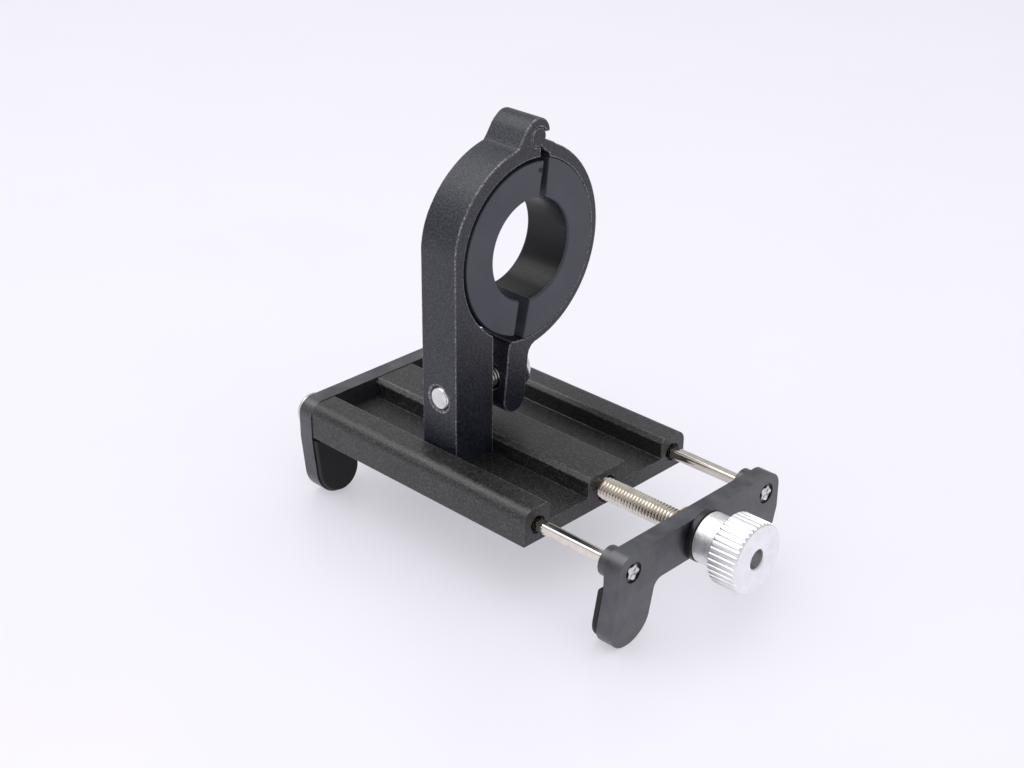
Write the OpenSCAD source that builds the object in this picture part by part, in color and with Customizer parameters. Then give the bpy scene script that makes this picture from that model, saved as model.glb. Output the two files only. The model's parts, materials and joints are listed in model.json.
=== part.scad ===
// Handlebar phone mount: an extruded base, two clawed jaws drawn together by a
// thumb knob and lead screw, and an arm with a hinged ring that grips the bar.
// Frame: X runs along the guide rods towards the knob, Y across the base, Z up.
// The origin is on the handlebar's axis, in the middle of the arm's width.
// Modules named *_outline are drawn in the Y-Z plane and extruded along X.

/* [Base] */
// Length of the extruded base along the rods
base_l = 65; // [60:1:70]
// Width of the base
base_w = 50; // [49:0.5:52]
// Height of the rails and the centre ridge
base_h = 8; // [8:0.25:9]
// Width of each outer rail
rail_w = 7.6; // [7.2:0.1:8]
// Width of the centre ridge
ridge_w = 12; // [11:0.5:12]
// Thickness of the channel floors
floor_t = 3.5; // [3:0.25:4]
// Radius of the rails' outer shoulders
shoulder_r = 2.6; // [2:0.1:3]

/* [Jaws] */
// Gap between the base's end and the front jaw's bar, as it stands
jaw_gap = 21.1; // [19:0.1:24]
// Thickness of a jaw in the direction of travel
jaw_t = 3.9; // [3.6:0.1:4.2]
// Width of a jaw
jaw_w = 50.4; // [50:0.1:51]
// Height of a jaw's bar
bar_h = 8.9; // [8.8:0.1:9.2]
// How far a claw reaches below its bar
claw_l = 13.8; // [12:0.2:15]
// Width of a claw
claw_w = 11; // [10:0.5:11.5]
// Inward lean of a claw, in degrees
claw_lean = 8.5; // [5:0.5:10]
// Thickness of a claw's rubber pad
claw_pad_t = 1.6; // [1.2:0.1:1.8]

/* [Rods and lead screw] */
// Distance between the two guide rods
rod_pitch = 42; // [41.6:0.1:42.4]
// Radius of a guide rod
rod_r = 1.5; // [1.4:0.05:1.5]
// Outer radius of the lead screw's thread
lead_r = 2.45; // [2.4:0.01:2.48]

/* [Thumb knob] */
// Radius of the smooth hub
hub_r = 5.4; // [5:0.1:5.8]
// Radius of the knurled head
knob_r = 7.6; // [7.2:0.1:8]
// Length of the knurled head
knob_l = 6.8; // [6:0.2:8]
// Number of flutes round the head
flutes = 40; // [30:1:44]

/* [Handlebar clamp] */
// Diameter of the handlebar
bar_d = 22.2; // [20:0.1:22.4]
// Width of the arm and the swinging half along the bar
arm_w = 10; // [9.6:0.2:10]
// Height of the handlebar's axis above the base's underside
bar_z = 47.3; // [46:0.1:48]
// Outer radius of the arm's half ring
ring_r = 23; // [22.6:0.1:23.2]
// Bore radius of the arm's half ring
ring_bore_r = 19.7; // [19.4:0.1:19.8]
// Angle by which the closed half leans past square, in degrees
close_lean = 6; // [5:0.5:6.5]

/* [Hidden] */
$fn = 96;

eps = 0.01;
bar_y = 5.2;                        // the handlebar's axis lies this far off the base's centre
end_x = base_l / 2;
ridge_y = ridge_w / 2;
channel_y = base_w / 2 - rail_w;
edge_c = 0.9;                       // chamfer along the ridge and the rails' inner edges
rod_y = rod_pitch / 2;
rod_z = 3.9;
lead_z = 3.4;
running = 0.05;                     // radial clearance of a running fit
rail_bore_r = 2.02;
bush_r = 2;
bush_l = 6;
bush_set = 0.3;

jaw_in = end_x + jaw_gap;           // inner face of the front jaw's bar
jaw_out = jaw_in + jaw_t;
bar_low = -0.8;                     // underside of a jaw's bar
bar_corner = 3.6;
claw_mid = (jaw_w - claw_w) / 2;
claw_fillet = 2;
boss_r = 3.2;
boss_l = 2.5;
rod_inner = -4.5;                   // inner end of the rods
rivet_r = 1.75;
rivet_t = 0.5;
rivet_well_r = 2.25;                // shallow well round each peened rod end

collar_r = 3.9;
collar_t = 1.2;
collar_gap = 0.1;
washer_r = 5.6;
washer_t = 1.35;
hub_x = jaw_out + running + washer_t;
hub_l = 5.4;
head_x = hub_x + hub_l;
knob_end = head_x + knob_l;
lead_inner = -13.5;
lead_outer = head_x + 2.3;
knob_hole_r = 2.1;
grub_r = 1.5;
grub_x = hub_x + 1.5;
grub_turn = 20;                     // where the grub screw sits round the hub

ring_clip_y = -22.2;                // the post's outer face, which also trims the ring
post_t = 11;
blend_r = 18;                       // arc that eases the ring's outside into the post's outer face
ring_top_y = 2.45;                  // top end of the arm's half ring
bead_y = 1.9;
bead_z = 23.9;
bead_r = 2.05;
hook_bore_r = 2.15;
hook_r = 3.4;
hook_y = 1.7;
hook_z = 24.6;
screw_z = -28.6;                    // clamp screw axis
screw_r = 2.45;
post_mid = ring_clip_y + post_t / 2;
arm_screw_pitch = 5.8;
arm_screw_r = 1.5;
csk_r = 2.75;
csk_h = 1.6;

half_r = 22.8;                      // swinging half, outer arc and its centre
half_y = -2.55;
half_z = 0.7;
half_bore_r = 20;                   // swinging half, inner arc and its centre
half_bore_y = -1.4;
half_bore_z = 0.1;
lug_t = 6.3;
lug_off = -0.45;                    // lug's middle plane beside the bead, with the half square
lug_top = -43.2;
lug_end = -57.45;
lug_hole_r = 3.1;
seat_y = -0.2;                      // inner face of the washer under the clamp screw's head
seat_t = 0.8;
seat_r = 4.6;
screw_head_r = 4.4;
screw_head_h = 2.6;

half_gap = 0.05;                    // the swinging half is this much shy of the arm's width at each side
insert_r = 18.9;
swing_insert_r = 19.9;
insert_back = 2;                    // thickness of the locating flange behind the arm
flange_r = 20.1;
swing_flange_r = 20.9;
mouth_c = 0.4;                      // chamfer at both mouths of the handlebar bore
bore_r = bar_d / 2;

// ---- placing and drawing helpers ----

// Base coordinates: centre of the base's width, underside of the base at zero.
module on_base() {
    translate([0, -bar_y, -bar_z]) children();
}

module along_x(from, to) {
    translate([from, 0, 0]) rotate([90, 0, 90]) linear_extrude(to - from) children();
}

module rod_x(from, to, r) {
    translate([from, 0, 0]) rotate([0, 90, 0]) cylinder(h = to - from, r = r);
}

module cone_x(from, to, r_from, r_to) {
    translate([from, 0, 0]) rotate([0, 90, 0]) cylinder(h = to - from, r1 = r_from, r2 = r_to);
}

module rod_y_axis(from, to, r) {
    translate([0, from, 0]) rotate([-90, 0, 0]) cylinder(h = to - from, r = r);
}

// A domed screw head standing on the Z = 0 plane, with an upright rim and a hexagon socket.
module button_head(r, h, socket, rim = 0) {
    dome = h - rim;
    ball_r = (r * r + dome * dome) / (2 * dome);
    difference() {
        intersection() {
            translate([0, 0, h - ball_r]) sphere(r = ball_r);
            cylinder(h = h, r = r);
        }
        translate([0, 0, h * 0.4]) cylinder(h = h, r = socket / cos(30) / 2, $fn = 6);
    }
}

module both_rods() {
    for (side = [-1, 1]) translate([0, side * rod_y, rod_z]) children();
}

module both_claws() {
    for (side = [0, 1]) mirror([0, side, 0]) children();
}

module both_sides() {
    for (side = [0, 1]) mirror([side, 0]) children();
}

// ---- base ----

module channel_outline() {
    top = base_h + edge_c;
    polygon([[ridge_y, floor_t], [channel_y, floor_t], [channel_y, base_h - edge_c],
             [channel_y + 2 * edge_c, top], [ridge_y - 2 * edge_c, top], [ridge_y, base_h - edge_c]]);
}

module base_outline() {
    side = base_w / 2;
    difference() {
        union() {
            translate([-side, 0]) square([base_w, base_h - shoulder_r]);
            translate([shoulder_r - side, 0]) square([base_w - 2 * shoulder_r, base_h]);
            for (s = [-1, 1]) translate([s * (side - shoulder_r), base_h - shoulder_r]) circle(shoulder_r);
        }
        both_sides() channel_outline();
    }
}

module arm_screw_places() {
    for (s = [-1, 1]) translate([0, post_mid + bar_y + s * arm_screw_pitch / 2, 0]) children();
}

module base_plate() {
    lead_bore_r = lead_r + 0.08;
    mouth_r = 3.2;
    color("#1b1c1f") on_base() difference() {
        along_x(-end_x, end_x) base_outline();
        both_rods() rod_x(-end_x - 1, end_x + 1, rail_bore_r);
        translate([0, 0, lead_z]) {
            rod_x(-end_x - 1, end_x + 1, lead_bore_r);
            cone_x(end_x - mouth_r + lead_bore_r, end_x + eps, lead_bore_r, mouth_r);
        }
        arm_screw_places() {
            translate([0, 0, -1]) cylinder(h = floor_t + 2, r = arm_screw_r + 0.1);
            translate([0, 0, -eps]) cylinder(h = csk_h + 0.1, r1 = csk_r + 0.15, r2 = arm_screw_r);
        }
    }
}

// Foam strips on the base's underside, where the phone's back rests.
module back_pads() {
    strip_l = 56;
    strip_w = 7;
    strip_t = 1.2;
    strip_y = 18.5;
    color("#242424") on_base() for (s = [-1, 1])
        translate([-strip_l / 2, s * strip_y - strip_w / 2, -strip_t]) cube([strip_l, strip_w, strip_t]);
}

module guide_bushes() {
    color("#101010") on_base() both_rods() difference() {
        rod_x(end_x - bush_set - bush_l, end_x - bush_set, bush_r);
        rod_x(end_x - bush_l - 1, end_x + 1, rod_r + running);
        cone_x(end_x - bush_set - 0.2, end_x - bush_set + eps, rod_r + running, rod_r + 0.25);
    }
}

// ---- jaws ----

module bar_outline() {
    top = bar_low + bar_h;
    side = jaw_w / 2;
    translate([-side, bar_low]) square([jaw_w, bar_h - bar_corner]);
    translate([bar_corner - side, bar_low]) square([jaw_w - 2 * bar_corner, bar_h]);
    for (s = [-1, 1]) translate([s * (side - bar_corner), top - bar_corner]) circle(bar_corner);
}

// One claw: a round-ended tongue below the bar, with a fillet on its inner side.
module claw_outline() {
    r = claw_w / 2;
    near = claw_mid - r;
    translate([0, bar_low]) {
        translate([claw_mid, r - claw_l]) circle(r);
        translate([near, r - claw_l]) square([claw_w, claw_l - r + 1]);
        difference() {
            translate([near - claw_fillet, -claw_fillet]) square([claw_fillet + 1, claw_fillet + 1]);
            translate([near - claw_fillet, -claw_fillet]) circle(claw_fillet);
        }
    }
}

// A jaw's side view, X against Z: an upright bar above claws that lean inwards.
module side_outline() {
    t = jaw_t / cos(claw_lean);
    low = -claw_l - 2;
    foot = low * tan(claw_lean);
    translate([0, bar_low]) polygon([[0, bar_h + 1], [0, 0], [foot, low], [foot - t, low],
        [-jaw_t, (t - jaw_t) / tan(claw_lean)], [-jaw_t, bar_h + 1]]);
}

// Coordinates of a leaning claw: its outer face at X = 0, the bar's underside at Z = 0.
module claw_place() {
    translate([0, 0, bar_low]) rotate([0, claw_lean, 0]) children();
}

// A jaw drawn with its outer face at X = 0 and its inner side towards -X.
module jaw_body() {
    intersection() {
        along_x(-20, 5) {
            bar_outline();
            both_sides() claw_outline();
        }
        rotate([90, 0, 0]) linear_extrude(2 * jaw_w, center = true) side_outline();
    }
}

// The rubber on both claws of a jaw: a tongue a little smaller than the claw's inner face.
module claw_pads() {
    r = claw_w / 2 - 0.2;
    low = -claw_l - 0.2;
    both_claws() claw_place() along_x(-jaw_t - claw_pad_t, -jaw_t) {
        translate([claw_mid, low + r]) circle(r);
        translate([claw_mid - r, low + r]) square([2 * r, -low - r - 0.5]);
    }
}

module rear_jaw() {
    color("#1a1b1d") on_base() difference() {
        translate([-end_x, 0, 0]) mirror([1, 0, 0]) translate([jaw_t, 0, 0]) jaw_body();
        both_rods() rod_x(-end_x - jaw_t - 1, -end_x + 1, rail_bore_r + 0.1);
    }
}

module rear_claw_pads() {
    color("#0d0d0d") on_base() translate([-end_x, 0, 0]) mirror([1, 0, 0])
        translate([jaw_t, 0, 0]) claw_pads();
}

module rear_jaw_screws() {
    shank_r = rail_bore_r - 0.02;
    head_r = 3.9;
    head_h = 2.3;
    shank_l = 9;
    color("#c9c8c6") on_base() both_rods() {
        rod_x(-end_x - jaw_t - eps, -end_x + shank_l, shank_r);
        translate([-end_x - jaw_t, 0, 0]) rotate([0, -90, 0]) button_head(head_r, head_h, 2.5, 1.1);
    }
}

module front_jaw() {
    color("#1a1b1d") on_base() difference() {
        union() {
            translate([jaw_out, 0, 0]) jaw_body();
            both_rods() rod_x(jaw_in - boss_l, jaw_in + 1, boss_r);
        }
        both_rods() {
            rod_x(jaw_in - boss_l - 1, jaw_out + 1, rod_r + 0.02);
            rod_x(jaw_out - rivet_t, jaw_out + 1, rivet_well_r);
        }
        translate([0, 0, lead_z]) rod_x(jaw_in - 1, jaw_out + 1, lead_r + 0.08);
    }
}

module front_claw_pads() {
    color("#0d0d0d") on_base() translate([jaw_out, 0, 0]) claw_pads();
}

// ---- guide rods, lead screw and knob ----

// A plain rod whose outer end is peened over in the jaw's front face.
module guide_rod(side) {
    stake_w = 0.5;
    on_base() translate([0, side * rod_y, rod_z]) difference() {
        union() {
            rod_x(rod_inner, jaw_out - eps, rod_r);
            cone_x(rod_inner - 0.4, rod_inner, rod_r - 0.4, rod_r);
            rod_x(jaw_out - rivet_t, jaw_out - 0.05, rivet_r);
        }
        for (turn = [45, 135]) rotate([turn, 0, 0])
            translate([jaw_out - 0.3, -rivet_r * 0.7, -stake_w / 2]) cube([1, rivet_r * 1.4, stake_w]);
    }
}

module guide_rod_left() {
    color("#d8d4cc") guide_rod(-1);
}

module guide_rod_right() {
    color("#d8d4cc") guide_rod(1);
}

module lead_screw() {
    point = 0.6;
    color("#cfc7ba") on_base() translate([0, 0, lead_z]) {
        cone_x(lead_inner, lead_inner + point, lead_r - point, lead_r);
        rod_x(lead_inner + point, lead_outer - point, lead_r);
        cone_x(lead_outer - point, lead_outer, lead_r, lead_r - point);
    }
}

module thrust_collar() {
    low = jaw_in - collar_gap - collar_t;
    color("#b07a43") on_base() translate([0, 0, lead_z]) difference() {
        union() {
            rod_x(low + 0.2, jaw_in - collar_gap, collar_r);
            cone_x(low, low + 0.2, collar_r - 0.2, collar_r);
        }
        rod_x(low - 1, jaw_in + 1, lead_r + 0.02);
    }
}

module knob_washer() {
    color("#0b0b0c") on_base() translate([0, 0, lead_z]) difference() {
        rod_x(jaw_out + running, hub_x, washer_r);
        rod_x(jaw_out - 1, hub_x + 1, lead_r + 0.15);
    }
}

module thumb_knob() {
    edge = 0.5;
    flute_r = 0.36;
    color("#d4d6d9") on_base() translate([0, 0, lead_z]) difference() {
        union() {
            cone_x(hub_x, hub_x + 0.3, hub_r - 0.3, hub_r);
            rod_x(hub_x + 0.3, head_x + 1, hub_r);
            cone_x(head_x, head_x + edge, knob_r - edge, knob_r);
            rod_x(head_x + edge, knob_end - edge, knob_r);
            cone_x(knob_end - edge, knob_end, knob_r, knob_r - edge);
        }
        for (i = [0 : flutes - 1]) rotate([i * 360 / flutes, 0, 0])
            translate([0, 0, knob_r + 0.05]) rod_x(head_x - 1, knob_end + 1, flute_r);
        rod_x(hub_x - 1, lead_outer, lead_r + 0.02);
        rod_x(lead_outer - eps, knob_end + 1, knob_hole_r);
        cone_x(knob_end - 0.3, knob_end + eps, knob_hole_r, knob_hole_r + 0.3);
        translate([grub_x, 0, 0]) rotate([grub_turn, 0, 0]) rod_y_axis(0, hub_r + 1, grub_r + 0.02);
    }
}

module knob_grub_screw() {
    low = lead_r + 0.05;
    high = hub_r - 0.25;
    color("#8d8f92") on_base() translate([grub_x, 0, lead_z]) rotate([grub_turn, 0, 0]) difference() {
        rod_y_axis(low, high, grub_r);
        translate([0, high - 1.2, 0]) rotate([-90, 0, 0]) cylinder(h = 2, r = 0.87, $fn = 6);
    }
}

// ---- arm and handlebar clamp ----

// Everything but the sliver that the blending arc takes off between the ring and the post.
module blend_outline() {
    y = ring_clip_y + blend_r;
    z = sqrt(pow(ring_r - blend_r, 2) - y * y);
    far = 40;
    translate([y, z]) circle(blend_r + 0.05);
    polygon([[y, z], [y - far, z], [-far, -far], [far, -far], [far, far],
             [y + far * y / (ring_r - blend_r), z + far * z / (ring_r - blend_r)]]);
}

// The arm in one outline: post, half ring and the hook that holds the bead.
module arm_outline() {
    difference() {
        union() {
            intersection() {
                circle(ring_r);
                blend_outline();
                polygon([[ring_clip_y, -30], [ring_clip_y + post_t, -30], [ring_clip_y + post_t, 0],
                         [ring_top_y + 2, 0], [ring_top_y + 2, 30], [ring_clip_y, 30]]);
            }
            translate([ring_clip_y, floor_t - bar_z]) square([post_t, bar_z - floor_t]);
            translate([hook_y, hook_z]) circle(hook_r);
            polygon([[1.5, 20.5], [hook_y, hook_z], [-0.55, 27.1], [-1.4, 26.5], [-2.1, 25.7],
                     [-2.7, 24.8], [-3.3, 23.9], [-4, 23], [-4.75, 22.1], [-4.9, 21.2]]);
        }
        circle(ring_bore_r);
        translate([bead_y, bead_z]) circle(hook_bore_r);
        translate([ring_top_y, 0]) square([10, hook_z]);
    }
}

module clamp_arm() {
    w = arm_w / 2;
    color("#17181b") difference() {
        along_x(-w, w) arm_outline();
        translate([0, 0, screw_z]) {
            rod_y_axis(ring_clip_y - 1, ring_clip_y + post_t + 1, screw_r + running);
            translate([0, ring_clip_y - eps, 0]) rotate([-90, 0, 0])
                cylinder(h = 0.5, r1 = screw_r + 0.55, r2 = screw_r + running);
        }
        on_base() arm_screw_places() cylinder(h = floor_t + 7, r = arm_screw_r + 0.02);
    }
}

// Countersunk screws up through the base into the post's foot.
module arm_screws() {
    color("#a9abad") on_base() arm_screw_places() {
        cylinder(h = floor_t + 6, r = arm_screw_r);
        difference() {
            cylinder(h = csk_h, r1 = csk_r, r2 = arm_screw_r);
            translate([0, 0, -eps]) cylinder(h = 1.1, r = 1.1, $fn = 6);
        }
    }
}

// Sector of the plane left (or right) of the slits between the insert's halves.
module fixed_sector() {
    polygon([[-25, 25], [-25, -25], [-6.29, -25], [-1.41, 0], [0.22, 0], [4.49, 25]]);
}

module swing_sector() {
    polygon([[5.52, 25], [2.99, 0], [2.34, 0], [-3.45, -25], [25, -25], [25, 25]]);
}

// Half of the split plastic bush: a thick half ring and a flange behind its clamp half.
module insert_half(y, z, r, back_r, gap) {
    front = arm_w / 2;
    back = gap - arm_w / 2;
    rear = -arm_w / 2 - insert_back;
    difference() {
        union() {
            along_x(rear, front) intersection() {
                translate([y, z]) circle(r);
                children();
            }
            along_x(rear, back) intersection() {
                translate([y, z]) circle(back_r);
                children();
            }
        }
        rod_x(rear - 1, front + 1, bore_r);
        cone_x(front - mouth_c, front + eps, bore_r, bore_r + mouth_c);
        cone_x(rear - eps, rear + mouth_c, bore_r + mouth_c, bore_r);
    }
}

module fixed_insert() {
    color("#131417") insert_half(0, 0, insert_r, flange_r, 0) fixed_sector();
}

module swing_insert() {
    color("#131417") insert_half(half_bore_y, half_bore_z, swing_insert_r, swing_flange_r, half_gap)
        swing_sector();
}

// The lug that hangs from the ring, drawn square and then leaned about the bead.
module lug_outline() {
    corner = 2.4;
    left = lug_off - lug_t / 2;
    translate([bead_y, bead_z]) rotate(-close_lean) {
        translate([lug_off, lug_end]) circle(lug_t / 2);
        translate([left, lug_end]) square([lug_t, lug_top - corner - lug_end]);
        translate([left + corner, lug_end]) square([lug_t - corner, lug_top - lug_end]);
        translate([left + corner, lug_top - corner]) circle(corner);
    }
}

module half_outline() {
    difference() {
        union() {
            intersection() {
                translate([half_y, half_z]) circle(half_r);
                polygon([[5.2, 30], [5.2, 0], [0, 0], [-3.4, -22], [-3.4, -30], [30, -30], [30, 30]]);
            }
            lug_outline();
            polygon([[-2, -20.5], [-0.55, -24.6], [-0.2, -23.2], [0.6, -22.2], [2.6, -21.2]]);
        }
        translate([half_bore_y, half_bore_z]) circle(half_bore_r);
    }
    polygon([[1.6, 23.2], [3.2, 21.2], [5.7, 19.2], [8.4, 18.6], [8.4, 20.2], [6.4, 21.9],
             [4.8, 22.7], [3.8, 23.1], [2.6, 24.6]]);
    translate([bead_y, bead_z]) circle(bead_r);
}

module clamp_half() {
    w = arm_w / 2 - half_gap;
    hole_rise = 0.17;
    color("#17181b") difference() {
        along_x(-w, w) half_outline();
        translate([0, 0, screw_z + hole_rise]) rod_y_axis(-14, 6, lug_hole_r);
    }
}

module clamp_washer() {
    color("#b9bbbd") translate([0, 0, screw_z]) difference() {
        rod_y_axis(seat_y, seat_y + seat_t, seat_r);
        rod_y_axis(seat_y - 1, seat_y + seat_t + 1, screw_r + 0.1);
    }
}

module clamp_screw() {
    under_head = seat_y + seat_t + 0.02;
    point = 0.45;
    color("#c9c8c6") translate([0, 0, screw_z]) {
        translate([0, ring_clip_y, 0]) rotate([-90, 0, 0])
            cylinder(h = point, r1 = screw_r - point, r2 = screw_r);
        rod_y_axis(ring_clip_y + point, under_head + eps, screw_r);
        translate([0, under_head, 0]) rotate([-90, 0, 0]) button_head(screw_head_r, screw_head_h, 3);
    }
}

// ---- nodes ----

base_plate();
back_pads();
guide_bushes();
rear_jaw();
rear_jaw_screws();
rear_claw_pads();
clamp_arm();
arm_screws();
fixed_insert();
front_jaw();
guide_rod_left();
guide_rod_right();
front_claw_pads();
lead_screw();
thrust_collar();
knob_washer();
thumb_knob();
knob_grub_screw();
clamp_half();
swing_insert();
clamp_washer();
clamp_screw();
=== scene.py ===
import json
import math

import bmesh
import bpy
from mathutils import Matrix, Vector


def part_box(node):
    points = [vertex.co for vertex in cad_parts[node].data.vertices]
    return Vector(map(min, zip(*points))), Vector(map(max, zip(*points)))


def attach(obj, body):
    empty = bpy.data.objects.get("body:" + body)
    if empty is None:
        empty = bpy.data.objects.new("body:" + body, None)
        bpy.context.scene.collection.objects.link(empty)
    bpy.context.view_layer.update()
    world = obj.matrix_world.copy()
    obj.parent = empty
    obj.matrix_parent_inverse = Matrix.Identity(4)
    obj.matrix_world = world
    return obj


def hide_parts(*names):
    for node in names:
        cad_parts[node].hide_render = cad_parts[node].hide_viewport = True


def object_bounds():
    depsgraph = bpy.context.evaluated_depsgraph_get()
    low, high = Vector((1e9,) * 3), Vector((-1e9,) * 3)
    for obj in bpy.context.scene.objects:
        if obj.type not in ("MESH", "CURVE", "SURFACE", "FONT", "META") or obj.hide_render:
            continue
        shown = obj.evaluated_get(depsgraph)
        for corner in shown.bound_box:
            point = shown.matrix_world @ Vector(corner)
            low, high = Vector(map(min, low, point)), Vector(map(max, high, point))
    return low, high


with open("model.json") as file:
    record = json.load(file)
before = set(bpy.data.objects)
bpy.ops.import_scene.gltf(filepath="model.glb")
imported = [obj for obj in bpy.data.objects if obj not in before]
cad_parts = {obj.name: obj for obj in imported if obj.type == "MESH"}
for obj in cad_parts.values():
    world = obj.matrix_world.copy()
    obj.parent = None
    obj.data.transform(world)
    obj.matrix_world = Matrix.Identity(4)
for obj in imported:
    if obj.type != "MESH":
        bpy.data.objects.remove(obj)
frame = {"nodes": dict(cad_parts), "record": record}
CAD_BOX = [list(corner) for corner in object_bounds()]
NODES = frame["nodes"]
BODY_OF = {n: b for b, names in frame["record"]["behaviour"]["bodies"].items() for n in names}
SLOT_OF = {s["node"]: s["material_slot"] for s in frame["record"]["subparts"]}
SCENE = bpy.context.scene
MM = 0.001      # one millimetre in the scene's metres; lengths below are in mm unless said


# ---------------------------------------------------------------- materials

NOISE_SPAN = (0.3, 0.7)     # most of a noise's values lie in here


def node_tree(name):
    mat = bpy.data.materials.new(name)
    mat.use_nodes = True
    tree = mat.node_tree
    tree.nodes.clear()
    out = tree.nodes.new("ShaderNodeOutputMaterial")
    shader = tree.nodes.new("ShaderNodeBsdfPrincipled")
    tree.links.new(shader.outputs["BSDF"], out.inputs["Surface"])
    return mat, tree, shader


def coords(tree, stretch=(1, 1, 1)):
    tex = tree.nodes.new("ShaderNodeTexCoord")
    mapping = tree.nodes.new("ShaderNodeMapping")
    mapping.inputs["Scale"].default_value = stretch
    tree.links.new(tex.outputs["Object"], mapping.inputs["Vector"])
    return mapping.outputs["Vector"]


def noise(tree, vector, size_mm, detail=2.0, rough=0.5):
    """A noise whose features are about size_mm across."""
    n = tree.nodes.new("ShaderNodeTexNoise")
    n.inputs["Scale"].default_value = 1000.0 / size_mm
    n.inputs["Detail"].default_value = detail
    n.inputs["Roughness"].default_value = rough
    tree.links.new(vector, n.inputs["Vector"])
    return n.outputs["Fac"]


def ranged(tree, value, lo, hi, to_lo, to_hi):
    """Maps value from lo..hi to to_lo..to_hi and holds it there."""
    n = tree.nodes.new("ShaderNodeMapRange")
    n.inputs["From Min"].default_value = lo
    n.inputs["From Max"].default_value = hi
    n.inputs["To Min"].default_value = to_lo
    n.inputs["To Max"].default_value = to_hi
    tree.links.new(value, n.inputs["Value"])
    return n.outputs["Result"]


def mixed(tree, factor, a, b):
    n = tree.nodes.new("ShaderNodeMix")
    n.data_type = "RGBA"
    n.inputs["A"].default_value = (*a, 1)
    n.inputs["B"].default_value = (*b, 1)
    tree.links.new(factor, n.inputs["Factor"])
    return n.outputs["Result"]


def tinted(tree, shader, value, span, dark, light):
    """Base colour that goes from dark to light as value goes through span."""
    blend = mixed(tree, ranged(tree, value, *span, 0.0, 1.0), dark, light)
    tree.links.new(blend, shader.inputs["Base Color"])


def roughened(tree, shader, value, at_low, at_high):
    """Roughness that goes from at_low to at_high with a noise."""
    tree.links.new(ranged(tree, value, *NOISE_SPAN, at_low, at_high), shader.inputs["Roughness"])


def bumped(tree, shader, layers):
    """layers: (height socket, strength, depth in mm), stacked one on another."""
    normal = None
    for height, strength, depth in layers:
        b = tree.nodes.new("ShaderNodeBump")
        b.inputs["Strength"].default_value = strength
        b.inputs["Distance"].default_value = depth * MM
        tree.links.new(height, b.inputs["Height"])
        if normal:
            tree.links.new(normal, b.inputs["Normal"])
        normal = b.outputs["Normal"]
    tree.links.new(normal, shader.inputs["Normal"])


def blasted(name, dark, light, rough, grain_mm, grain, depth, spec, spread):
    """Black anodised aluminium over a bead-blasted skin: a dark ground with fine, brighter grain,
    whose bright flecks also paint the skin's glints.
    """
    mat, tree, shader = node_tree(name)
    v = coords(tree)
    fine = noise(tree, v, grain_mm, 1.5, 0.5)
    broad = noise(tree, v, 9.0, 3.0, 0.55)
    # the brighter grain is partly the skin's own tone, partly painted glints
    tinted(tree, shader, fine, spread, dark, light)
    roughened(tree, shader, broad, rough - 0.04, rough + 0.05)
    shader.inputs["Specular IOR Level"].default_value = spec
    bumped(tree, shader, [(fine, grain, depth)])
    return mat


def worn_and_highlit(name, dark, light, rough):
    """A rounded edge where the coating has rubbed thin, painted lighter as a highlight too: small
    bright flecks on a dark ground.
    """
    mat, tree, shader = node_tree(name)
    flecks = noise(tree, coords(tree), 0.5, 3.0, 0.65)
    # the lighter edge colour is partly wear, partly a painted highlight along the edge
    tinted(tree, shader, flecks, (0.46, 0.68), dark, light)
    roughened(tree, shader, flecks, rough + 0.06, rough - 0.06)
    shader.inputs["Specular IOR Level"].default_value = 0.7
    bumped(tree, shader, [(flecks, 0.3, 0.03)])
    return mat


def coated(name, dark, light, rough, ripple, spec=0.5):
    """Satin black coating: softly rippled, with faint scuffs and a bloom."""
    mat, tree, shader = node_tree(name)
    v = coords(tree)
    ripples = noise(tree, v, 1.4, 2.0, 0.5)
    dust = noise(tree, v, 0.25, 2.0, 0.6)
    cloud = noise(tree, v, 5.0, 4.0, 0.65)
    tinted(tree, shader, cloud, (0.36, 0.68), dark, light)
    roughened(tree, shader, cloud, rough - 0.05, rough + 0.07)
    shader.inputs["Specular IOR Level"].default_value = spec
    bumped(tree, shader, [(ripples, ripple, 0.05), (dust, ripple * 0.6, 0.02)])
    return mat


def drawn(name, dark, light, rough, spec):
    """The bore of the plastic bush, painted far darker than the bush's face as painted shade: fine
    marks drawn out along its axis, with broad bands.
    """
    mat, tree, shader = node_tree(name)
    marks = noise(tree, coords(tree, (0.04, 1, 1)), 0.3, 3.0, 0.6)
    bands = noise(tree, coords(tree, (0.1, 1, 1)), 5.0, 2.0, 0.5)
    # the dark colours paint the shade inside the bore
    tinted(tree, shader, bands, (0.38, 0.62), dark, light)
    roughened(tree, shader, marks, rough - 0.05, rough + 0.07)
    shader.inputs["Specular IOR Level"].default_value = spec
    bumped(tree, shader, [(marks, 0.08, 0.02)])
    return mat


def moulded(name, dark, light, rough):
    """Moulded plastic with a very fine spark-eroded skin."""
    mat, tree, shader = node_tree(name)
    v = coords(tree)
    skin = noise(tree, v, 0.18, 2.0, 0.5)
    cloud = noise(tree, v, 7.0, 3.0, 0.5)
    tinted(tree, shader, cloud, (0.35, 0.7), dark, light)
    roughened(tree, shader, skin, rough - 0.04, rough + 0.05)
    shader.inputs["Specular IOR Level"].default_value = 0.5
    bumped(tree, shader, [(skin, 0.22, 0.02), (cloud, 0.12, 0.08)])
    return mat


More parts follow.
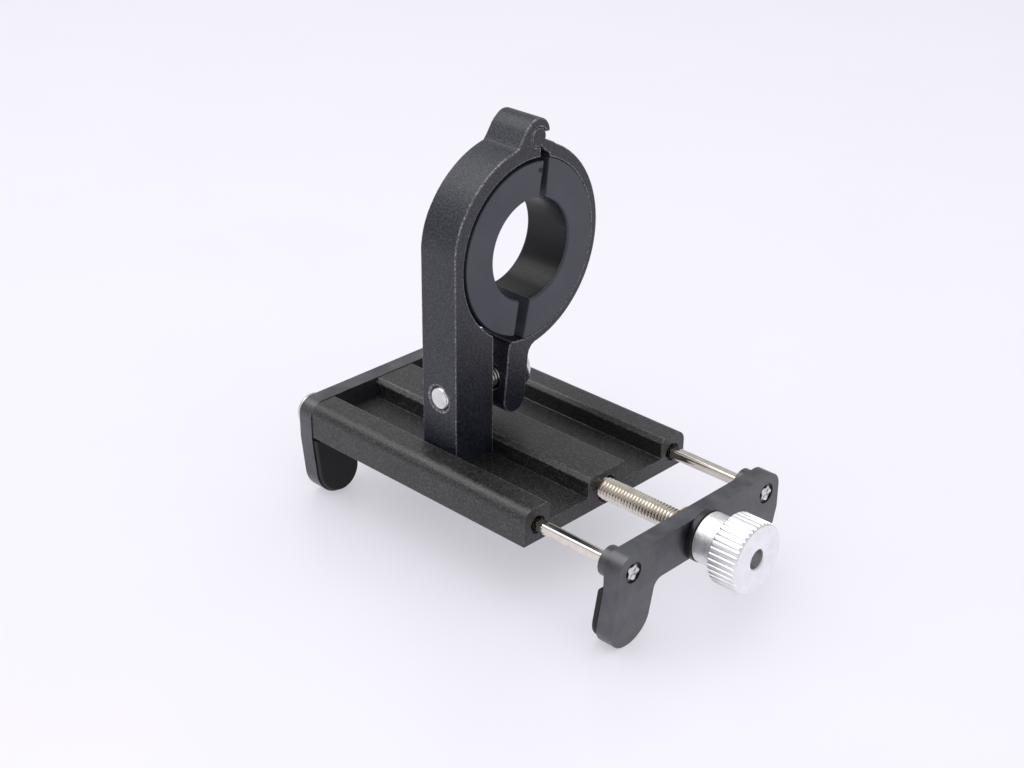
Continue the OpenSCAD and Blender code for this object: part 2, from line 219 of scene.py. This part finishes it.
def metal(name, dark, light, rough, line_mm=0.25, lines=0.12, pit=0.0, stretch=(1, 1, 1)):
    """Bare or plated metal. lines and pit are the depths' strengths; stretch draws the marks out."""
    mat, tree, shader = node_tree(name)
    marks = noise(tree, coords(tree, stretch), line_mm, 3.0, 0.65)
    cloud = noise(tree, coords(tree), 3.0, 3.0, 0.6)
    tinted(tree, shader, cloud, NOISE_SPAN, dark, light)
    roughened(tree, shader, marks, rough - 0.06, rough + 0.08)
    shader.inputs["Metallic"].default_value = 1.0
    layers = [(marks, lines, 0.02)]
    if pit:
        layers.append((noise(tree, coords(tree), 0.55, 2.0, 0.7), pit, 0.1))
    bumped(tree, shader, layers)
    return mat


def soft(name, dark, light, rough, cell_mm, depth):
    """Rubber or foam."""
    mat, tree, shader = node_tree(name)
    v = coords(tree)
    cells = noise(tree, v, cell_mm, 3.0, 0.65)
    cloud = noise(tree, v, 4.0, 3.0, 0.5)
    tinted(tree, shader, cloud, NOISE_SPAN, dark, light)
    roughened(tree, shader, cells, rough - 0.06, rough + 0.06)
    shader.inputs["Specular IOR Level"].default_value = 0.35
    bumped(tree, shader, [(cells, 0.4, depth)])
    return mat


NICKEL = (0.66, 0.60, 0.53)

MATS = {
    "base": blasted("anodised_base", (0.001, 0.001, 0.0012), (0.042, 0.042, 0.042), rough=0.40,
                    grain_mm=0.38, grain=1.0, depth=0.08, spec=0.72, spread=(0.46, 0.70)),
    "arm": blasted("anodised_arm", (0.003, 0.0038, 0.010), (0.034, 0.037, 0.054), rough=0.36,
                   grain_mm=0.34, grain=0.9, depth=0.07, spec=0.55, spread=(0.42, 0.66)),
    "jaw": coated("coated_jaw", (0.014, 0.015, 0.021), (0.060, 0.062, 0.074), rough=0.32,
                  ripple=0.3, spec=0.9),
    "insert": moulded("moulded_insert", (0.043, 0.045, 0.064), (0.056, 0.058, 0.079), rough=0.36),
    # the bore is painted far darker than the insert's face: painted shade
    "bore": drawn("drawn_shaded_bore", (0.001, 0.0015, 0.0022), (0.010, 0.011, 0.013), rough=0.28,
                  spec=0.28),
    # edge finishes: worn coating, painted lighter as highlights along the rounded edges
    "base_edge": worn_and_highlit("worn_highlit_base_edge", (0.02, 0.02, 0.021), (0.12, 0.12, 0.123), rough=0.32),
    "arm_edge": worn_and_highlit("worn_highlit_arm_edge", (0.05, 0.051, 0.057), (0.38, 0.38, 0.39), rough=0.28),
    "jaw_edge": worn_and_highlit("worn_highlit_jaw_edge", (0.042, 0.043, 0.052), (0.10, 0.101, 0.114), rough=0.32),
    "pad": soft("rubber_pad", (0.004, 0.004, 0.005), (0.009, 0.009, 0.011), rough=0.5,
                cell_mm=0.3, depth=0.03),
    "foam": soft("foam_strip", (0.012, 0.012, 0.012), (0.022, 0.022, 0.022), rough=0.85,
                 cell_mm=0.35, depth=0.12),
    "bush": moulded("moulded_bush", (0.006, 0.006, 0.007), (0.010, 0.010, 0.011), rough=0.45),
    "washer": coated("satin_washer", (0.005, 0.005, 0.006), (0.010, 0.010, 0.011), rough=0.32,
                     ripple=0.1),
    "rod": metal("nickel_rod", NICKEL, (0.84, 0.80, 0.74), rough=0.12,
                 line_mm=0.6, lines=0.02, stretch=(0.02, 1, 1)),
    "rivet": metal("peened_end", (0.50, 0.50, 0.50), (0.92, 0.92, 0.91), rough=0.22,
                   line_mm=0.4, lines=0.3, pit=0.8),
    "thread": metal("nickel_thread", NICKEL, (0.84, 0.79, 0.72), rough=0.18, line_mm=0.3),
    "steel_screw": metal("plated_screw", (0.60, 0.60, 0.60), (0.86, 0.86, 0.85), rough=0.28,
                         line_mm=0.35, lines=0.2),
    "collar": metal("turned_brass", (0.52, 0.35, 0.21), (0.70, 0.50, 0.31), rough=0.32,
                    line_mm=0.3, lines=0.2),
    "knob": metal("turned_aluminium", (0.86, 0.86, 0.88), (0.96, 0.96, 0.97), rough=0.38,
                  line_mm=0.3, pit=0.06),
    "hub": metal("rough_turned_aluminium", (0.70, 0.70, 0.72), (1.0, 1.0, 1.0), rough=0.42,
                 line_mm=0.5, lines=0.4, pit=0.8),
    "grub": metal("dark_grub", (0.13, 0.13, 0.14), (0.22, 0.22, 0.23), rough=0.35),
}


# ---------------------------------------------------------------- meshes

def clean_copy(node):
    """The CAD node's mesh, welded, with its flat faces made whole again."""
    bm = bmesh.new()
    bm.from_mesh(NODES[node].data)
    bmesh.ops.remove_doubles(bm, verts=bm.verts, dist=2e-6)
    bmesh.ops.dissolve_degenerate(bm, dist=1e-6, edges=bm.edges)
    bmesh.ops.dissolve_limit(bm, angle_limit=math.radians(0.8), verts=bm.verts, edges=bm.edges)
    bmesh.ops.recalc_face_normals(bm, faces=bm.faces)
    return bm


def edge_angle(edge):
    return edge.calc_face_angle(0.0) if len(edge.link_faces) == 2 else 0.0


def mark_edges(bm, sharp, weight, trim, inner):
    """Gives each edge that turns by more than sharp degrees its share of the rounding."""
    layers = bm.edges.layers.float
    share = layers.get("bevel_weight_edge") or layers.new("bevel_weight_edge")
    for e in bm.edges:
        if edge_angle(e) > math.radians(sharp):
            if trim and not e.is_convex:
                e.smooth = inner > 0
                e[share] = inner
                continue
            middle = (e.verts[0].co + e.verts[1].co) / 2 / MM
            e[share] = weight(middle) if weight else 1.0


def finish_mesh(name, bm, material, body, edge, segments=3, sharp=34.0, weight=None, trim=None,
                inner=0.0, clamped=True):
    """Makes the object, with its sharp edges rounded by edge, in mm.

    weight gives the rounding's share at a point. trim names the finish of the rounded edges;
    inner corners then get the share inner, or stay sharp. clamped holds each rounding back
    where another one is near."""
    mark_edges(bm, sharp, weight, trim, inner)
    for f in bm.faces:
        f.smooth = True
    mesh = bpy.data.meshes.new(name)
    bm.to_mesh(mesh)
    bm.free()
    mesh.materials.append(MATS[material])
    if trim:
        mesh.materials.append(MATS[trim])
    obj = bpy.data.objects.new(name, mesh)
    SCENE.collection.objects.link(obj)
    if edge:
        bevel = obj.modifiers.new("round", "BEVEL")
        bevel.limit_method = "WEIGHT"
        bevel.width = edge * MM
        bevel.segments = segments
        bevel.harden_normals = True
        bevel.miter_outer = "MITER_ARC"
        bevel.use_clamp_overlap = clamped
        if trim:
            # the rounded edges take the trim finish, whose lighter colour paints highlights along
            # them
            bevel.material = 1
        weighted = obj.modifiers.new("weighted", "WEIGHTED_NORMAL")
        weighted.keep_sharp = True
        weighted.weight = 60
        dg = bpy.context.evaluated_depsgraph_get()
        made = bpy.data.meshes.new_from_object(obj.evaluated_get(dg), depsgraph=dg)
        obj.modifiers.clear()
        obj.data = made
        bpy.data.meshes.remove(mesh)
        made.name = name
    else:
        mesh.set_sharp_from_angle(angle=math.radians(sharp))
    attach(obj, body)
    return obj


def rounded(node, edge, change=None, **style):
    """A CAD node's own shape with rounded edges, in place of the node."""
    bm = clean_copy(node)
    if change:
        change(bm)
    slot = SLOT_OF[node]
    obj = finish_mesh(node + "_piece", bm, slot, BODY_OF[node], edge, **style)
    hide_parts(node)
    return obj


def piece(name, bm, node, material=None, edge=None):
    """A piece of its own that rides with a CAD node."""
    obj = finish_mesh(name, bm, material or SLOT_OF[node], BODY_OF[node], edge)
    return obj


def second_finish(obj, material, on_it):
    """Gives the faces for which on_it(centre in mm, normal) holds a finish of their own."""
    obj.data.materials.append(MATS[material])
    for f in obj.data.polygons:
        if on_it(f.center / MM, f.normal):
            f.material_index = 1


def turn_mesh(bm, degrees, axis):
    turn = Matrix.Rotation(math.radians(degrees), 3, axis)
    bmesh.ops.rotate(bm, verts=bm.verts, cent=(0, 0, 0), matrix=turn)


def shift_mesh(bm, x, y, z):
    bmesh.ops.translate(bm, verts=bm.verts, vec=(x * MM, y * MM, z * MM))


PITCH = 0.8                 # of the M5 threads
CREST, ROOT = 2.44, 1.98    # radii of the threads' crests and roots


def thread_mesh(start, end, tip, around=40, steps=8):
    """A right-hand M5 thread along +X from start to end, with flat ends of radius tip.

    Columns of points run along the screw. Each starts a little further on than the one before,
    so the last meets the first one pitch later, which is steps points."""
    rows = int(math.ceil((end - start) / PITCH)) * steps + steps
    bm = bmesh.new()
    columns = []
    for k in range(around):
        turn = 2 * math.pi * k / around
        column = []
        for m in range(-steps, rows + 1):
            x = start + PITCH * (m / steps + k / around)
            phase = (m % steps) / steps
            swell = 0.5 + 0.5 * math.cos(2 * math.pi * phase)
            r = ROOT + (CREST - ROOT) * swell ** 0.8
            inside = min(max(x, start), end)
            r = min(r, tip + (inside - start), tip + (end - inside))
            if x < start or x > end:
                r = tip
            at = (inside * MM, r * math.cos(turn) * MM, r * math.sin(turn) * MM)
            column.append(bm.verts.new(at))
        columns.append(column)
    for k in range(around):
        last = k == around - 1
        a, b = columns[k], columns[(k + 1) % around]
        for m in range(len(a) - 1):
            n = m + steps if last else m
            if n + 1 < len(b):
                bm.faces.new((a[m], a[m + 1], b[n + 1], b[n]))
    for last in (0, -1):
        bm.faces.new([column[last] for column in columns])
    bmesh.ops.remove_doubles(bm, verts=bm.verts, dist=1e-7)
    bmesh.ops.dissolve_degenerate(bm, dist=1e-8, edges=bm.edges)
    bmesh.ops.recalc_face_normals(bm, faces=bm.faces)
    return bm


# ---------------------------------------------------------------- base, jaws and small parts

def mm_box(node):
    lo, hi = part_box(node)
    return Vector(lo) / MM, Vector(hi) / MM


def mm_middle(node):
    lo, hi = mm_box(node)
    return (lo + hi) / 2


base_mid = mm_middle("base_plate").y
rod_mid = mm_middle("guide_rod_left")
rod_off = base_mid - rod_mid.y      # from the base's middle to each rod
lead_mid = mm_middle("lead_screw")
jaw_face = mm_box("front_jaw")[1].x     # the front jaw's outer face

JAW_RIM, BASE_RIM = 3.4, 3.3    # around these axes the bosses' and bores' rims lie this near
HUB_LENGTH = 5.4                # of the thumb knob's smooth hub


def off_axes(point, clear):
    """True if a point is further than clear from the guide rods' and the lead screw's axes."""
    axes = [(base_mid - rod_off, rod_mid.z), (base_mid + rod_off, rod_mid.z),
            (lead_mid.y, lead_mid.z)]
    return all(math.hypot(point.y - y, point.z - z) > clear for y, z in axes)


def jaw_weight(point):
    return 1.0 if off_axes(point, JAW_RIM) else 0.16


def base_weight(point):
    return 1.0 if off_axes(point, BASE_RIM) else 0.5


# The base's inner corners are rounded too and take the edge finish: painted highlight lines where
# the channels' walls meet their floors.
rounded("base_plate", 0.22, weight=base_weight, segments=2, trim="base_edge", inner=0.7,
        clamped=False)
for jaw in ("front_jaw", "rear_jaw"):
    rounded(jaw, 0.75, weight=jaw_weight, segments=4, sharp=30, trim="jaw_edge")
rounded("front_claw_pads", 0.4)
rounded("rear_claw_pads", 0.4)
rounded("back_pads", 0.25, segments=2)
rounded("guide_bushes", 0.08, segments=2)
rounded("clamp_arm", 0.3, trim="arm_edge", clamped=False)
rounded("clamp_half", 0.26, trim="arm_edge", clamped=False)

rounded("arm_screws", 0.06, segments=2)
rounded("thrust_collar", 0.1, segments=2)
rounded("knob_washer", 0.15)
knob = rounded("thumb_knob", 0.07, segments=2, sharp=42)
head_x = mm_box("thumb_knob")[0].x + HUB_LENGTH
second_finish(knob, "hub", lambda c, normal: c.x < head_x - 0.05)
rounded("knob_grub_screw", 0.05, segments=2)
rounded("rear_jaw_screws", 0.1, segments=2)
rounded("clamp_washer", 0.1, segments=2)


# ---------------------------------------------------------------- rods and screws

END_DEPTH = 0.6     # the rods' beaten ends lie within this of the jaw's face
RIM_R = 1.2         # beyond this radius a point of the end is on its rim
DISH = 0.12         # depth of the hammer's marks


def peened(node):
    """Beats the round end of a rod into a ragged, dished star."""
    mid = mm_middle(node)

    def end_faces(bm):
        return [f for f in bm.faces if f.calc_center_median().x / MM > jaw_face - END_DEPTH]

    def change(bm):
        edges = dict.fromkeys(e for f in end_faces(bm) for e in f.edges)
        bmesh.ops.subdivide_edges(bm, edges=list(edges), cuts=1)
        bmesh.ops.triangulate(bm, faces=end_faces(bm))
        for v in bm.verts:
            p = v.co / MM
            if p.x < jaw_face - 0.52:
                continue
            y, z = p.y - mid.y, p.z - mid.z
            away, turn = math.hypot(y, z), math.atan2(z, y)
            if away > RIM_R:
                keep = 0.86 + 0.10 * math.cos(5 * turn + 0.7) + 0.05 * math.cos(3 * turn - 0.4)
                v.co = Vector((p.x, mid.y + y * keep, mid.z + z * keep)) * MM
            if p.x > jaw_face - 0.2:
                v.co.x -= DISH * MM * (0.5 + 0.5 * math.sin(4.0 * turn + 2.2 * away))
    return change


for node in ("guide_rod_left", "guide_rod_right"):
    rod = rounded(node, 0.04, change=peened(node), segments=2)
    second_finish(rod, "rivet", lambda c, normal: c.x > jaw_face - 0.45)

# The lead screw: its thread runs its whole length.
lead_lo, lead_hi = mm_box("lead_screw")
lead = thread_mesh(lead_lo.x, lead_hi.x, tip=1.85)
shift_mesh(lead, 0, lead_mid.y, lead_mid.z)
lead = piece("lead_screw_piece", lead, "lead_screw")
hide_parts("lead_screw")

# The clamp screw: the CAD head on a threaded shank.
SHANK_CORE = 1.95       # radius of the CAD shank's core, inside the thread's roots
screw_tip = mm_box("clamp_screw")[0].y
screw_mid = mm_middle("clamp_screw")
head_seat = mm_box("clamp_washer")[1].y


def slim_shank(bm):
    """Draws the plain shank in, so that the thread covers it and its end."""
    for v in bm.verts:
        p = v.co / MM
        if p.y >= head_seat + 0.01:
            continue
        away = Vector((p.x - screw_mid.x, p.z - screw_mid.z))
        if away.length > SHANK_CORE:
            away *= SHANK_CORE / away.length
        v.co = Vector((screw_mid.x + away.x, max(p.y, screw_tip + 1), screw_mid.z + away.y)) * MM


rounded("clamp_screw", 0.08, change=slim_shank, segments=2)
shank = thread_mesh(screw_tip, head_seat, tip=2.2)
turn_mesh(shank, 90, "Z")
shift_mesh(shank, screw_mid.x, 0, screw_mid.z)
piece("clamp_screw_thread", shank, "clamp_screw")


# ---------------------------------------------------------------- the split bush

BORE_REACH = 11.3       # the bore's faces lie nearer than this to the handlebar's axis
PIP_R, PIP_TOP_R, PIP_DEPTH = 0.56, 0.5, 0.2
PIP_Y, PIP_Z = 2.4, 16.8


def on_bore(centre, normal):
    return abs(normal.x) < 0.3 and math.hypot(centre.y, centre.z) < BORE_REACH


# The bore's faces take the darker bore finish: painted shade inside the bore.
for node in ("fixed_insert", "swing_insert"):
    second_finish(rounded(node, 0.22), "bore", on_bore)

# A small moulding pip beside the slit of the fixed insert, in the bore's finish, painted dark as
# shade.
pip = bmesh.new()
bmesh.ops.create_cone(pip, cap_ends=True, segments=32, radius1=PIP_R * MM,
                      radius2=PIP_TOP_R * MM, depth=PIP_DEPTH * MM)
turn_mesh(pip, 90, "Y")
shift_mesh(pip, mm_box("fixed_insert")[1].x, PIP_Y, PIP_Z)
piece("insert_pip", pip, "fixed_insert", "bore", edge=0.03)


# ---------------------------------------------------------------- stage, in metres

floor_z = CAD_BOX[0][2]
bpy.ops.mesh.primitive_plane_add(size=3.0, location=(0, 0, floor_z))
floor = bpy.context.object
floor.name = "floor"
floor_mat, tree, shader = node_tree("white_table")
sheen = noise(tree, coords(tree), 60.0, 2.0, 0.5)
white = mixed(tree, sheen, (0.86, 0.845, 0.915), (0.89, 0.875, 0.94))
tree.links.new(white, shader.inputs["Base Color"])
shader.inputs["Roughness"].default_value = 0.3
shader.inputs["Specular IOR Level"].default_value = 0.35
floor.data.materials.append(floor_mat)

world = bpy.data.worlds.new("studio")
world.use_nodes = True
world.node_tree.nodes["Background"].inputs["Color"].default_value = (0.98, 0.98, 1.0, 1)
world.node_tree.nodes["Background"].inputs["Strength"].default_value = 0.60
SCENE.world = world


def softbox(name, place, size, watts, on_floor, shadow=True):
    """A square softbox aimed at the origin. It lights either the floor alone or all but it."""
    data = bpy.data.lights.new(name, "AREA")
    data.shape = "SQUARE"
    data.size = size
    data.energy = watts
    data.use_shadow = shadow
    light = bpy.data.objects.new(name, data)
    SCENE.collection.objects.link(light)
    light.location = place
    light.rotation_mode = "QUATERNION"
    light.rotation_quaternion = (-Vector(place)).to_track_quat("-Z", "Y")
    lit = bpy.data.collections.new(name + "_lights")
    lit.objects.link(floor)
    lit.collection_objects[0].light_linking.link_state = "INCLUDE" if on_floor else "EXCLUDE"
    light.light_linking.receiver_collection = lit


softbox("top", (-0.15, -0.02, 0.9), size=0.3, watts=1.6, on_floor=False)
softbox("key", (-0.45, -0.4, 1.4), size=1.7, watts=17.0, on_floor=False)
softbox("floor_fill", (-0.2, -0.1, 1.5), size=1.9, watts=19.5, on_floor=True, shadow=False)

SCENE.view_settings.view_transform = "Standard"
SCENE.view_settings.look = "None"


# ---------------------------------------------------------------- camera, in metres

EYE = (0.2337, -0.2438, 0.1383)
SENSOR_MM, LENS_MM = 36.0, 61.07
AZIMUTH, ELEVATION, ROLL = (math.radians(a) for a in (43.82, 26.91, 0.56))

level = math.cos(ELEVATION)
ahead = Vector((-math.sin(AZIMUTH) * level, math.cos(AZIMUTH) * level, -math.sin(ELEVATION)))
right = Vector((math.cos(AZIMUTH), math.sin(AZIMUTH), 0))
down = ahead.cross(right)
right, down = (right * math.cos(ROLL) - down * math.sin(ROLL),
               right * math.sin(ROLL) + down * math.cos(ROLL))
cam_data = bpy.data.cameras.new("camera")
cam_data.sensor_width = SENSOR_MM
cam_data.lens = LENS_MM
cam_data.clip_start, cam_data.clip_end = 0.01, 20.0
camera = bpy.data.objects.new("camera", cam_data)
SCENE.collection.objects.link(camera)
facing = Matrix((right, -down, -ahead)).transposed().to_4x4()
camera.matrix_world = Matrix.Translation(EYE) @ facing
SCENE.camera = camera

bpy.context.view_layer.update()
